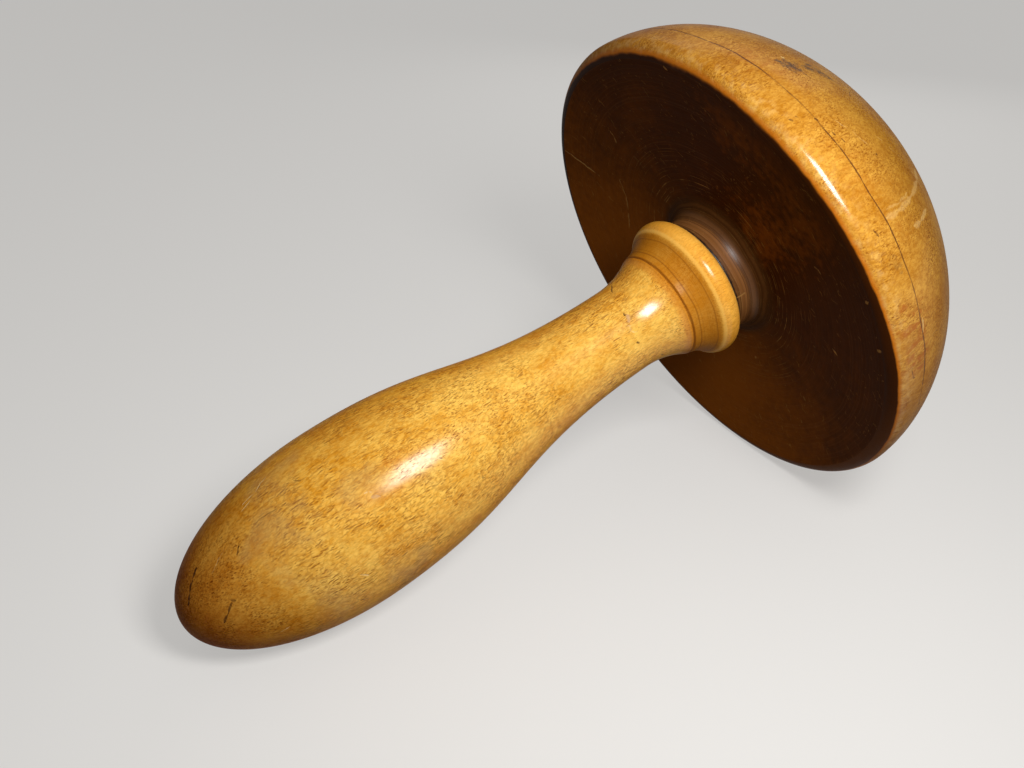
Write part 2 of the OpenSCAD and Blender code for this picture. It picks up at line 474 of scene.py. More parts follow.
capFinish = {
    "pale": (0.58, 0.285, 0.037, 1), "deep": (0.39, 0.148, 0.0065, 1), "fleck": (0.22, 0.066, 0.003, 1),
    "line": (0.09, 0.026, 0.005, 1), "worn": (0.80, 0.55, 0.21, 1), "orange": (0.34, 0.095, 0.003, 1),
    # the colour after fade is painted light on the stain of the rim
    "fade": (0.44, 0.115, 0.003, 1), "paintedLightStain": (0.12, 0.033, 0.002, 1), "smudge": (0.08, 0.042, 0.02, 1),
    # the last colour on the next line is painted shade, multiplied in away from the lit side
    "crown": (0.68, 0.65, 0.42, 1), "sideShade": (0.94, 0.80, 0.34, 1),
    "stain": (0.036, 0.009, 0.001, 1), "stainDeep": (0.028, 0.007, 0.0008, 1),
    "fleckWidth": 0.3, "fleckLength": 1.3, "fleckShare": 0.85, "fleckStrength": 1.0, "dapple": 0.46,
    "lineHeight": 7.9, "lineRadius": 40.6, "lineWidth": 0.17, "lineSway": 2.2,
    # heights on the axis between which each of these comes in
    "crownAt": (7.0, 20.0), "stripesAt": (13.0, 9.0), "wornAt": (6.5, 3.4), "fadeAt": (3.1, 2.5),
    "stainAt": (2.6, 2.4),
    "coat": 0.8, "coatRough": 0.18, "gloss": 0.02, "rough": 0.42,
}

underFinish = {
    "stain": (0.13, 0.034, 0.002, 1), "stainDeep": (0.055, 0.013, 0.001, 1),
    # rim and dark are painted shade, and the colour beside dark is painted light and sheen
    "scratch": (0.40, 0.20, 0.055, 1), "rim": (0.050, 0.0125, 0.0013, 1),
    "paintedLight": (0.27, 0.071, 0.0035, 1), "dark": (0.042, 0.010, 0.001, 1),
    "boss": (0.26, 0.10, 0.026, 1), "bossDeep": (0.10, 0.036, 0.009, 1),
    # the first colour is painted shade in the fillet round the boss, the second is dirt in the joint
    "filletShade": (0.045, 0.014, 0.002, 1), "joint": (0.012, 0.006, 0.003, 1),
    "paintedLitTurn": 40, "paintedSheenTurn": 221,  # turns in degrees
    # radii between which each of these comes in
    "rimAt": (33.0, 38.7), "sheenAt": (39.0, 16.0), "turnedAt": (26.0, 15.0), "bossAt": (15.0, 11.8),
    "deepAt": (14.0, 11.0), "coatGone": (10.35, 11.3),
    "jointAt": (0.85, 0.45),  # heights on the axis
    # where the painted shade in the fillet round the boss lies
    "filletShadeHeight": 4.0, "filletShadeRadius": 11.9, "filletShadeWidth": 2.4,
    "coat": 0.9, "coatRough": 0.38, "gloss": 0.02, "rough": 0.55,
}

# Each mark has a path of (height, radius, turn) places, in millimetres and degrees.
capMarks = {
    "dark": [
        {"path": [(11.5, 39.7, 197), (12.6, 39.2, 203)], "wide": 0.22, "strong": 0.6},
        {"path": [(13.2, 38.9, 199), (14.0, 38.6, 205)], "wide": 0.24, "strong": 0.7},
        {"path": [(20.2, 34.5, 209), (18.0, 36.2, 212)], "wide": 0.16, "strong": 0.6},
        {"path": [(4.7, 41.0, 211), (5.2, 41.0, 212)], "wide": 0.22, "strong": 0.8},
        {"path": [(5.9, 40.9, 211.2), (6.2, 40.8, 212)], "wide": 0.2, "strong": 0.6},
        {"path": [(8.8, 40.4, 217.5), (9.0, 40.4, 218.6)], "wide": 0.2},
        {"path": [(9.3, 40.3, 219.5), (9.5, 40.2, 220.5)], "wide": 0.2},
        {"path": [(8.0, 40.6, 213.4), (8.2, 40.5, 214.4)], "wide": 0.24},
        {"path": [(13.3, 38.9, 225.6), (13.6, 38.8, 226.0)], "wide": 0.24},
        {"path": [(5.4, 41.0, 237), (5.7, 40.9, 238.6)], "wide": 0.22},
        {"path": [(4.9, 41.0, 268), (5.0, 41.0, 271)], "wide": 0.16, "strong": 0.8},
        {"path": [(4.9, 41.0, 271), (5.6, 41.0, 271.2)], "wide": 0.16, "strong": 0.8},
        {"path": [(10.4, 40.0, 265), (12.2, 39.5, 266)], "wide": 0.18, "strong": 0.5},
    ],
    "pale": [
        {"path": [(8.2, 40.5, 236.8), (11.1, 39.7, 237.2), (15.4, 37.8, 237), (19.9, 34.7, 236),
                  (22.5, 32.5, 234)], "wide": 0.7, "strong": 0.32},
        {"path": [(9.0, 40.4, 235.4), (12.0, 39.5, 236), (15.0, 38.0, 235.8)], "wide": 0.3, "strong": 0.25},
        {"path": [(12.8, 39.1, 242), (15.0, 38.0, 242.4), (18.3, 35.9, 242)], "wide": 0.55, "strong": 0.38},
        {"path": [(13.6, 38.7, 196.5), (13.8, 38.6, 197.2)], "wide": 0.3},
        {"path": [(8.3, 40.5, 258.5), (7.9, 40.6, 262)], "wide": 0.22, "strong": 0.7},
        {"path": [(10.5, 40.0, 215), (12.0, 39.5, 219), (13.4, 38.9, 224)], "wide": 0.22, "strong": 0.3},
        {"path": [(2.8, 40.0, 279), (3.4, 40.6, 282)], "wide": 0.26},
        {"path": [(3.6, 40.7, 275), (3.0, 40.3, 277.5)], "wide": 0.26},
        {"path": [(16.0, 37.4, 222), (19.5, 35.1, 231), (21.0, 33.8, 240)], "wide": 0.14, "strong": 0.3},
    ],
    "smudge": [
        {"path": [(12.0, 39.4, 198), (14.2, 38.4, 202)], "wide": 2.4, "strong": 1.0},
        {"path": [(15.5, 37.7, 200), (18.5, 35.8, 205)], "wide": 2.0, "strong": 1.0},
        {"path": [(6.0, 40.9, 243), (6.4, 40.8, 247)], "wide": 1.2, "strong": 0.4},
    ],
    "stripes": [
        {"path": [(5.5, 40.9, 254), (7.0, 40.8, 262)], "wide": 5.0},
        {"path": [(7.0, 40.8, 262), (6.0, 40.9, 271)], "wide": 5.0},
    ],
}

underMarks = [
    {"path": [(1.95, 38.5, 108), (3.3, 30.1, 106)], "wide": 0.3},
    {"path": [(3.4, 29.6, 133), (3.6, 28.6, 132.4), (3.7, 27.4, 130)], "wide": 0.22, "strong": 0.8},
    {"path": [(4.1, 25.2, 112), (4.2, 23.4, 104), (4.2, 23.2, 96), (4.1, 24.2, 85)],
     "wide": 0.22, "strong": 0.7},
    {"path": [(3.7, 27.6, 243), (3.6, 28.2, 243.5), (3.5, 28.6, 245.5)], "wide": 0.25, "strong": 0.7},
    {"path": [(3.7, 27.1, 275), (3.6, 28.1, 276)], "wide": 0.3},
    {"path": [(4.7, 18.3, 337), (4.7, 18.8, 339)], "wide": 0.35, "strong": 0.8},
    {"path": [(0.2, 10.3, 262), (2.4, 10.4, 264), (4.9, 13.4, 266), (5.0, 15.0, 268)],
     "wide": 0.22, "strong": 0.8},
    {"path": [(1.9, 38.6, 250), (2.2, 37.8, 250.6)], "wide": 0.4},
    {"path": [(1.9, 38.6, 262), (2.2, 37.6, 263)], "wide": 0.35},
    {"path": [(2.0, 38.6, 179), (2.1, 37.9, 180)], "wide": 0.35},
]


# The dark stain of the hollow: smoky, with rings left by the lathe.

def makeStain():
    tree, given, out = startGroup("dark stain", [
        ("Place", "Vector", None), ("Radius", "Float", 0.0), ("Stain", "Color", None),
        ("Deep", "Color", None)], [("Colour", "Color"), ("Rings", "Float")])
    lines = use(tree, latheLines, {"Number": given["Radius"], "Place": given["Place"], "Pitch": 0.9})["Value"]
    smoky = use(tree, clouds, {"Place": given["Place"], "Size": 11.0, "Stretch": 1.0})["Value"]
    mottle = use(tree, clouds, {"Place": given["Place"], "Size": 2.2, "Stretch": 1.0})["Value"]
    dim = calc(tree, "MULTIPLY_ADD", mottle, 0.3, calc(tree, "MULTIPLY", smoky, 0.55))
    colour = blend(tree, dim, given["Stain"], given["Deep"])
    colour = blend(tree, calc(tree, "MULTIPLY", ease(tree, lines, 0.5, 0.8), 0.3), colour, given["Deep"])
    feed(tree, out["Colour"], colour)
    feed(tree, out["Rings"], lines)
    return tree


darkStain = makeStain()


def makeOutsideMaterial(c):
    made, tree, shader = newMaterial("varnished cap", {
        "Coat Roughness": c["coatRough"], "Specular IOR Level": c["gloss"]})
    here = use(tree, turnedPlace, {})
    place, along, radius = here["Place"], here["Along"], here["Radius"]
    wood = woodFor(tree, place, c)
    colour = wood["Colour"]
    colour = blend(tree, ease(tree, along, *c["crownAt"]), colour, c["crown"], "MULTIPLY")
    # painted shade away from the lit side
    colour = shadeAwayFromLight(tree, place, colour, c["sideShade"])
    # Orange stripes cross the side of the cap in patches.
    wavy = vec(tree, "ADD", place, stretch(tree, noise(tree, place, 0.25, 2, colour=True), 2.0))
    stripes = ease(tree, noise(tree, vec(tree, "DIVIDE", wavy, (0.9, 0.9, 5.0)), 1.0, 0), 0.47, 0.6)
    patch = ease(tree, noise(tree, vec(tree, "ADD", place, (5, 2, 9)), 0.045, 1), 0.5, 0.64, 0.0, 0.3)
    patch = calc(tree, "MAXIMUM", patch, strokeMasks(tree, place, capMarks["stripes"], smudgeWay))
    low = ease(tree, along, *c["stripesAt"], 0.0, 0.95)
    striped = calc(tree, "MULTIPLY", calc(tree, "MULTIPLY", stripes, patch), low)
    colour = blend(tree, striped, colour, c["orange"])
    # The rounded rim is worn pale where hands and cloth rub it.
    worn = ease(tree, along, *c["wornAt"])
    rub = calc(tree, "MULTIPLY", worn, ease(tree, noise(tree, place, 0.8, 3), 0.42, 0.7, 0.0, 0.2))
    colour = blend(tree, rub, colour, c["worn"])
    pale = strokeMasks(tree, place, capMarks["pale"])
    colour = blend(tree, calc(tree, "MULTIPLY", pale, 0.7), colour, c["worn"])
    dull = strokeMasks(tree, place, capMarks["smudge"], smudgeWay)
    colour = blend(tree, calc(tree, "MULTIPLY", dull, 0.9), colour, c["smudge"])
    # A thin dark line runs round the side, sways a little and fades in places.
    broken = ease(tree, noise(tree, place, 0.09, 3), 0.3, 0.45, 0.35, 1.0)
    sway = calc(tree, "SUBTRACT", noise(tree, place, 0.07, 2), 0.5)
    hair = use(tree, ringMark, {
        "Place": place, "Along": calc(tree, "MULTIPLY_ADD", sway, c["lineSway"], along), "Radius": radius,
        "At Height": c["lineHeight"], "At Radius": c["lineRadius"], "Width": c["lineWidth"],
        "Ragged": 0.08})["Mask"]
    hair = calc(tree, "MULTIPLY", hair, broken)
    dark = strokeMasks(tree, place, capMarks["dark"])
    cuts = calc(tree, "MAXIMUM", hair, dark)
    colour = blend(tree, calc(tree, "MULTIPLY", cuts, 0.85), colour, c["line"])
    # The stain of the hollow fades through orange on its way round the rim.
    sideways = vec(tree, "DOT_PRODUCT", vec(tree, "DIVIDE", place, (41, 41, 41)), at(0, 1, 185))
    ragged = calc(tree, "MULTIPLY_ADD", noise(tree, place, 0.3, 2), 0.25, along)
    ragged = calc(tree, "ADD", ragged, ease(tree, sideways, -0.2, 1.0, -0.4, 0.35))
    fade = ease(tree, ragged, *c["fadeAt"], 0.0, 0.9)
    colour = blend(tree, fade, colour, c["fade"])
    stain = use(tree, darkStain, {
        "Place": place, "Radius": radius, "Stain": c["stain"], "Deep": c["stainDeep"]})
    stained = ease(tree, ragged, *c["stainAt"])
    # painted light: the stain on the rim is lighter and warmer on the side turned away from 185 degrees
    stainWithPaintedLight = blend(tree, ease(tree, sideways, 0.1, -0.7), stain["Colour"], c["paintedLightStain"])
    colour = blend(tree, stained, colour, stainWithPaintedLight)
    height = calc(tree, "MULTIPLY_ADD", cuts, -0.05, wood["Height"])
    rough = calc(tree, "MULTIPLY_ADD", rub, 0.12, calc(tree, "MULTIPLY_ADD", wood["Fleck"], 0.1, c["rough"]))
    dull = strongest(tree, [fade, stained, calc(tree, "MULTIPLY", wood["Fleck"], 0.6)])
    varnish(tree, shader, c["coat"], dull)
    finish(tree, shader, colour, rough, height)
    return made


def makeUnderMaterial(c):
    made, tree, shader = newMaterial("stained underside", {
        "Coat Roughness": c["coatRough"], "Specular IOR Level": c["gloss"]})
    here = use(tree, turnedPlace, {})
    place, along, radius = here["Place"], here["Along"], here["Radius"]
    stain = use(tree, darkStain, {
        "Place": place, "Radius": radius, "Stain": c["stain"], "Deep": c["stainDeep"]})
    colour = stain["Colour"]
    # Painted light on one side of the hollow, a narrow painted sheen in the part opposite, and painted shade
    # over the rest of the far side and along its rim.
    outward = vec(tree, "NORMALIZE", vec(tree, "MULTIPLY", place, (1, 1, 0)))
    cloudy = calc(tree, "MULTIPLY_ADD", noise(tree, place, 0.06, 2), 0.7, -0.65)
    cloudy = calc(tree, "MULTIPLY_ADD", noise(tree, place, 0.7, 3), 0.6, cloudy)
    towardLitSide = calc(tree, "ADD", vec(tree, "DOT_PRODUCT", outward, at(0, 1, c["paintedLitTurn"])), cloudy)
    colour = blend(tree, ease(tree, towardLitSide, -0.2, 1.0, 0.0, 0.8), colour, c["paintedLight"])
    # painted shade on the side away from the painted light
    colour = blend(tree, ease(tree, towardLitSide, 0.1, -0.9, 0.0, 0.75), colour, c["dark"])
    # a narrow painted sheen
    sheenSector = calc(tree, "ADD", vec(tree, "DOT_PRODUCT", outward, at(0, 1, c["paintedSheenTurn"])), cloudy)
    sheenSector = ease(tree, sheenSector, 0.84, 1.1)
    sheenSector = calc(tree, "MULTIPLY", sheenSector, ease(tree, radius, *c["sheenAt"], 0.3, 0.6))
    colour = blend(tree, sheenSector, colour, c["paintedLight"])
    # painted shade along the rim, away from the painted light
    edge = calc(tree, "MULTIPLY", ease(tree, radius, *c["rimAt"], 0.0, 0.85), ease(tree, towardLitSide, 0.3, -0.4))
    colour = blend(tree, edge, colour, c["rim"])
    onBoss = ease(tree, calc(tree, "MULTIPLY_ADD", noise(tree, place, 0.3, 2), 1.5, radius), *c["bossAt"])
    rounds = use(tree, latheLines, {"Number": along, "Place": place, "Pitch": 0.7})["Value"]
    boss = blend(tree, ease(tree, rounds, 0.36, 0.64), c["boss"], c["bossDeep"])
    colour = blend(tree, onBoss, colour, boss)
    # Fine turning scratches gather round the boss and fade out over the hollow.
    fine = use(tree, latheLines, {"Number": calc(tree, "ADD", radius, along), "Place": place,
                                  "Pitch": 0.22})["Value"]
    patchy = ease(tree, noise(tree, place, 0.32, 3), 0.46, 0.62)
    near = calc(tree, "MULTIPLY", ease(tree, radius, *c["turnedAt"]), patchy)
    turned = calc(tree, "MULTIPLY", ease(tree, fine, 0.54, 0.68), calc(tree, "MULTIPLY_ADD", near, 0.6, 0.05))
    colour = blend(tree, turned, colour, c["scratch"])
    turnedOver = put(tree, "Mapping", {}, {"Vector": place, "Rotation": (1.2, 0.9, 0.5)}).outputs[0]
    hairs = use(tree, flecks, {
        "Place": turnedOver, "Width": 0.28, "Length": 5.0, "Share": 0.1, "Wander": 4.0})["Fleck"]
    colour = blend(tree, calc(tree, "MULTIPLY", hairs, 0.35), colour, c["scratch"])
    # painted shade: a darker ring in the fillet round the boss
    filletShadeMask = use(tree, ringMark, {
        "Place": place, "Along": along, "Radius": radius, "At Height": c["filletShadeHeight"],
        "At Radius": c["filletShadeRadius"], "Width": c["filletShadeWidth"], "Ragged": 0.1})["Mask"]
    colour = blend(tree, calc(tree, "MULTIPLY", filletShadeMask, 0.7), colour, c["filletShade"])
    # Dirt sits in the joint, along the edge of the boss.
    uneven = calc(tree, "MULTIPLY_ADD", noise(tree, place, 1.6, 3), 0.45, along)
    colour = blend(tree, ease(tree, uneven, *c["jointAt"]), colour, c["joint"])
    scratch = strokeMasks(tree, place, underMarks)
    colour = blend(tree, calc(tree, "MULTIPLY", scratch, 0.85), colour, c["scratch"])
    deep = ease(tree, radius, *c["deepAt"], 0.03, 0.09)
    grooves = calc(tree, "MULTIPLY_ADD", fine, deep, calc(tree, "MULTIPLY", stain["Rings"], 0.03))
    height = calc(tree, "MULTIPLY_ADD", scratch, -0.05, grooves)
    rough = calc(tree, "MULTIPLY_ADD", stain["Rings"], 0.12, c["rough"])
    streaks = ease(tree, fine, 0.42, 0.62, 0.6, 0.0)
    varnish(tree, shader, c["coat"], strongest(tree, [streaks, ease(tree, radius, *c["coatGone"])]))
    finish(tree, shader, colour, rough, height)
    return made


def capSide(r, z):
    # the hollow and the boss are stained, the peg's hole and the face of the boss are bare
    c = capShape
    inHole = r < c["hole"] + c["holeEdge"] / 2 and z < c["holeDeep"] + 0.5
    if inHole or z < 0.02:
        return 2
    return 1 if r < c["width"] / 2 - c["rimRound"] and z < 8 else 0


turnOnLathe("cap_turned", capOutline(capShape), capShape["slices"], "cap", "cap",
            [makeOutsideMaterial(capFinish), makeUnderMaterial(underFinish), bareWood], capSide)

# The handle, with its bead, cove and scribed ring.

handleShape = {
    "long": 97.2, "belly": 27.9, "bellyAt": 68.6, "waist": 14.6, "waistAt": 15.7,
    "waistEase": 0.53, "bellyEase": 0.46, "bead": 24.8, "beadR": 2.3, "beadFall": 42, "coveStart": 50,
    "ringAt": 8.0, "ring": 18.9, "ringStep": 0.15, "ringWide": 0.4, "ringCut": 0.3, "faceR": 10.9,
    "gap": 0.3, "hole": 4.55, "holeDeep": 15.5, "holeEdge": 0.3, "collarTo": -20, "slices": 200,
}


def handleOutline(h):
    face = -h["gap"]
    ring, waist, belly = h["ring"] / 2, h["waist"] / 2, h["belly"] / 2
    hole, bottom, cut = h["hole"], -h["holeDeep"], h["holeEdge"]
    ringZ = face - h["ringAt"]
    waistZ = face - h["waistAt"]
    bellyZ = face - h["bellyAt"]
    flareEnd = ring - h["ringStep"]
    flareLong = h["waistAt"] - h["ringAt"] - h["ringWide"] / 2
    flareR = (flareLong ** 2 + (flareEnd - waist) ** 2) / (2 * (flareEnd - waist))
    flareTurn = degrees(asin(flareLong / flareR))
    beadX = h["bead"] / 2 - h["beadR"]
    beadTurn = degrees(acos((h["faceR"] - beadX) / h["beadR"]))
    beadZ = face - h["beadR"] * sin(radians(beadTurn))
    # The cove leaves the crest of the bead steeply and flattens on its way to the ring.
    fall, start = radians(h["beadFall"]), radians(h["coveStart"])
    crestX, crestZ = beadX + h["beadR"] * cos(fall), beadZ - h["beadR"] * sin(fall)
    coveFall, coveLong = crestX - ring, crestZ - ringZ - h["ringWide"] / 2
    coveBend = h["coveStart"] - degrees(atan2(coveFall, coveLong))
    coveR = hypot(coveFall, coveLong) / (2 * sin(radians(coveBend)))
    coveX, coveZ = crestX + coveR * cos(start), crestZ - coveR * sin(start)
    end = [(0 if i == 90 else belly * cos(radians(i)), bellyZ - (h["long"] - h["bellyAt"]) * sin(radians(i)))
           for i in range(1, 91)]
    return (line((0, bottom), (hole, bottom), 3)
            + line((hole, bottom), (hole, face - cut), 8)
            + line((hole + cut, face), (h["faceR"] - 0.4, face), 6)
            + arc(beadX, beadZ, h["beadR"], beadTurn, -h["beadFall"], 28)
            + arc(coveX, coveZ, coveR, 180 - h["coveStart"], 180 - h["coveStart"] + 2 * coveBend, 20)
            + [(ring - h["ringCut"], ringZ)]
            + arc(waist + flareR, waistZ, flareR, 180 - flareTurn, 180, 30)
            + swell((waist, waistZ), (belly, bellyZ), h["waistEase"], h["bellyEase"], 90) + end)


handleFinish = {
    "pale": (0.95, 0.56, 0.10, 1), "deep": (0.69, 0.29, 0.017, 1), "fleck": (0.23, 0.062, 0.004, 1),
    # the last colour on the next line is painted shade, multiplied in away from the lit side
    "end": (0.50, 0.29, 0.09, 1), "tip": (0.62, 0.48, 0.30, 1), "sideShade": (0.94, 0.79, 0.34, 1),
    "bead": (0.84, 0.36, 0.04, 1), "cove": (0.40, 0.13, 0.005, 1), "orange": (0.60, 0.19, 0.008, 1),
    "crack": (0.05, 0.012, 0.004, 1), "paleScratch": (0.90, 0.64, 0.28, 1), "dent": (0.55, 0.31, 0.15, 1),
    "lip": (0.34, 0.23, 0.085, 1), "ring": (0.17, 0.045, 0.004, 1), "dull": (0.42, 0.26, 0.10, 1),
    # the next colour is a painted highlight along the crest of the bead
    "crest": (1.0, 0.58, 0.12, 1),
    # heights on the axis between which each of these comes in
    "endAt": (-68.0, -92.0), "tipAt": (-84.0, -96.0), "dullAt": (-52.0, -66.0), "bareNeck": (-30.0, -56.0),
    "bareEnd": (-70.0, -84.0), "beadAt": (-4.6, -4.0), "coveAt": (-9.6, -7.8), "lipAt": (-1.1, -0.5),
    "bareCove": (-9.2, -8.4), "bareBead": (-4.4, -3.6), "linesAt": (-14.0, -8.0), "smoothAt": (-8.4, -8.0),
    "glowAt": -8.9, "crestAt": -3.95, "ringHeight": -8.3, "ringRadius": 9.2, "ringWidth": 0.3,
    "fleckWidth": 0.28, "fleckLength": 2.5, "fleckShare": 0.85, "fleckStrength": 0.92, "dapple": 0.42,
    "coat": 0.95, "coatRough": 0.2, "gloss": 0.02, "rough": 0.42,
}

gripMarks = {
    "dark": [
        {"path": [(-94.9, 5.7, 211), (-93.6, 7.0, 200), (-92.2, 8.1, 192), (-90.8, 9.0, 187)], "wide": 0.24},
        {"path": [(-91.9, 8.3, 248), (-90.8, 9.0, 241), (-89.1, 9.9, 233)], "wide": 0.26, "strong": 0.85},
        {"path": [(-89.3, 9.8, 231), (-88.9, 10.0, 234)], "wide": 0.3, "strong": 0.7},
        {"path": [(-84.0, 11.9, 200), (-85.3, 11.4, 208)], "wide": 0.16, "strong": 0.8},
        {"path": [(-75.4, 13.6, 280), (-73.7, 13.8, 285)], "wide": 0.16, "strong": 0.7},
        {"path": [(-80.6, 12.8, 197), (-76.0, 13.5, 200)], "wide": 0.14, "strong": 0.5},
        {"path": [(-73.6, 13.8, 190), (-72.6, 13.85, 194)], "wide": 0.2, "strong": 0.6},
        {"path": [(-71.2, 13.9, 212), (-69.8, 13.95, 212)], "wide": 0.18, "strong": 0.6},
        {"path": [(-54.9, 13.0, 229), (-54.4, 12.9, 231)], "wide": 0.2, "strong": 0.7},
        {"path": [(-46.5, 11.3, 244), (-46.1, 11.2, 246)], "wide": 0.2, "strong": 0.7},
        {"path": [(-50.9, 12.3, 259), (-50.5, 12.2, 261)], "wide": 0.2, "strong": 0.7},
    ],
    "pale": [
        {"path": [(-81.4, 12.6, 179), (-78.8, 13.1, 178), (-76.2, 13.5, 172)], "wide": 0.15, "strong": 0.8},
        {"path": [(-82.2, 12.4, 183), (-79.4, 13.0, 181)], "wide": 0.12, "strong": 0.6},
        {"path": [(-73.0, 13.8, 262.5), (-72.0, 13.9, 266)], "wide": 0.18, "strong": 0.8},
        {"path": [(-86.6, 10.9, 277), (-84.8, 11.6, 274.5)], "wide": 0.16, "strong": 0.8},
        {"path": [(-66.6, 13.95, 221.5), (-65.8, 13.95, 222.4), (-65.4, 13.95, 224.5)],
         "wide": 0.18, "strong": 0.7},
        {"path": [(-89.5, 9.8, 205), (-86.0, 11.2, 196)], "wide": 0.12, "strong": 0.35},
    ],
    "dent": [
        {"path": [(-66.0, 13.95, 226), (-65.0, 13.95, 228.4)], "wide": 0.45, "strong": 0.7},
    ],
    "orange": [
        {"path": [(-40.4, 9.9, 213), (-40.9, 10.0, 216)], "wide": 2.2, "strong": 0.6},
        {"path": [(-62.0, 13.9, 213), (-59.0, 13.8, 214)], "wide": 2.6, "strong": 0.6},
        {"path": [(-33.0, 8.7, 212), (-31.5, 8.5, 214)], "wide": 1.6, "strong": 0.4},
    ],
}

collarMarks = {
    "dark": [
        {"path": [(-14.0, 7.45, 156), (-15.4, 7.35, 174)], "wide": 0.2, "strong": 0.9},
        {"path": [(-16.8, 7.35, 210), (-16.9, 7.35, 215)], "wide": 0.24, "strong": 0.9},
        {"path": [(-16.2, 7.35, 233), (-16.0, 7.35, 238)], "wide": 0.2, "strong": 0.6},
        {"path": [(-17.8, 7.4, 249), (-17.2, 7.4, 254)], "wide": 0.24, "strong": 0.9},
        {"path": [(-13.7, 7.5, 294), (-13.2, 7.6, 300)], "wide": 0.2, "strong": 0.6},
    ],
    "pale": [
        {"path": [(-17.6, 7.4, 236), (-16.4, 7.35, 240)], "wide": 0.18, "strong": 0.6},
        {"path": [(-17.9, 7.4, 226), (-17.0, 7.35, 230)], "wide": 0.18, "strong": 0.6},
    ],
    "dent": [
        {"path": [(-16.5, 7.35, 214), (-16.9, 7.35, 224)], "wide": 0.5, "strong": 1.0},
        {"path": [(-17.4, 7.4, 228), (-17.6, 7.4, 236)], "wide": 0.25, "strong": 0.6},
    ],
}


# Both finishes of the handle start from the same wood, so that no edge shows between them.

def startHandle(name, c):
    made, tree, shader = newMaterial(name, {
        "Coat Roughness": c["coatRough"], "Specular IOR Level": c["gloss"]})
    here = use(tree, turnedPlace, {})
    return made, tree, shader, here, woodFor(tree, here["Place"], c)


def markHandle(tree, place, colour, marks, c):
    # cracks, scratches and dents: the colour with them, and how deep they lie
    dent = strokeMasks(tree, place, marks["dent"])
    colour = blend(tree, calc(tree, "MULTIPLY", dent, 0.7), colour, c["dent"])
    pale = strokeMasks(tree, place, marks["pale"])
    colour = blend(tree, calc(tree, "MULTIPLY", pale, 0.8), colour, c["paleScratch"])
    dark = strokeMasks(tree, place, marks["dark"])
    colour = blend(tree, calc(tree, "MULTIPLY", dark, 0.9), colour, c["crack"])
    cuts = strongest(tree, [dark, calc(tree, "MULTIPLY", dent, 0.8), pale])
    return colour, calc(tree, "MULTIPLY", cuts, -0.06)


def makeGripMaterial(c):
    made, tree, shader, here, wood = startHandle("varnished grip", c)
    place, along = here["Place"], here["Along"]
    colour = wood["Colour"]
    drift = calc(tree, "MULTIPLY_ADD", noise(tree, place, 0.12, 2), 9.0, along)
    toEnd = ease(tree, drift, *c["endAt"])
    colour = blend(tree, calc(tree, "MULTIPLY", toEnd, 0.95), colour, c["end"], "MULTIPLY")
    colour = blend(tree, ease(tree, drift, *c["tipAt"]), colour, c["tip"], "MULTIPLY")
    # painted shade away from the lit side
    colour = shadeAwayFromLight(tree, place, colour, c["sideShade"])
    # Greyish worn patches lie on the swell, and orange ones along the top.
    patches = ease(tree, noise(tree, vec(tree, "ADD", place, (11, 4, 2)), 0.11, 3), 0.5, 0.68)
    greyed = calc(tree, "MULTIPLY", patches, ease(tree, along, *c["dullAt"], 0.0, 0.3))
    colour = blend(tree, greyed, colour, c["dull"])
    spots = strokeMasks(tree, place, gripMarks["orange"], smudgeWay)
    colour = blend(tree, calc(tree, "MULTIPLY", spots, 0.6), colour, c["orange"])
    colour, cuts = markHandle(tree, place, colour, gripMarks, c)
    height = calc(tree, "ADD", wood["Height"], cuts)
    rough = calc(tree, "MULTIPLY_ADD", wood["Fleck"], 0.12, c["rough"])
    worn = calc(tree, "MAXIMUM", ease(tree, along, *c["bareNeck"], 0.0, 0.4),
                ease(tree, along, *c["bareEnd"], 0.0, 0.9))
    varnish(tree, shader, c["coat"], calc(tree, "MULTIPLY_ADD", wood["Fleck"], 0.45, worn))
    finish(tree, shader, colour, calc(tree, "MULTIPLY_ADD", toEnd, 0.1, rough), height)
    return made


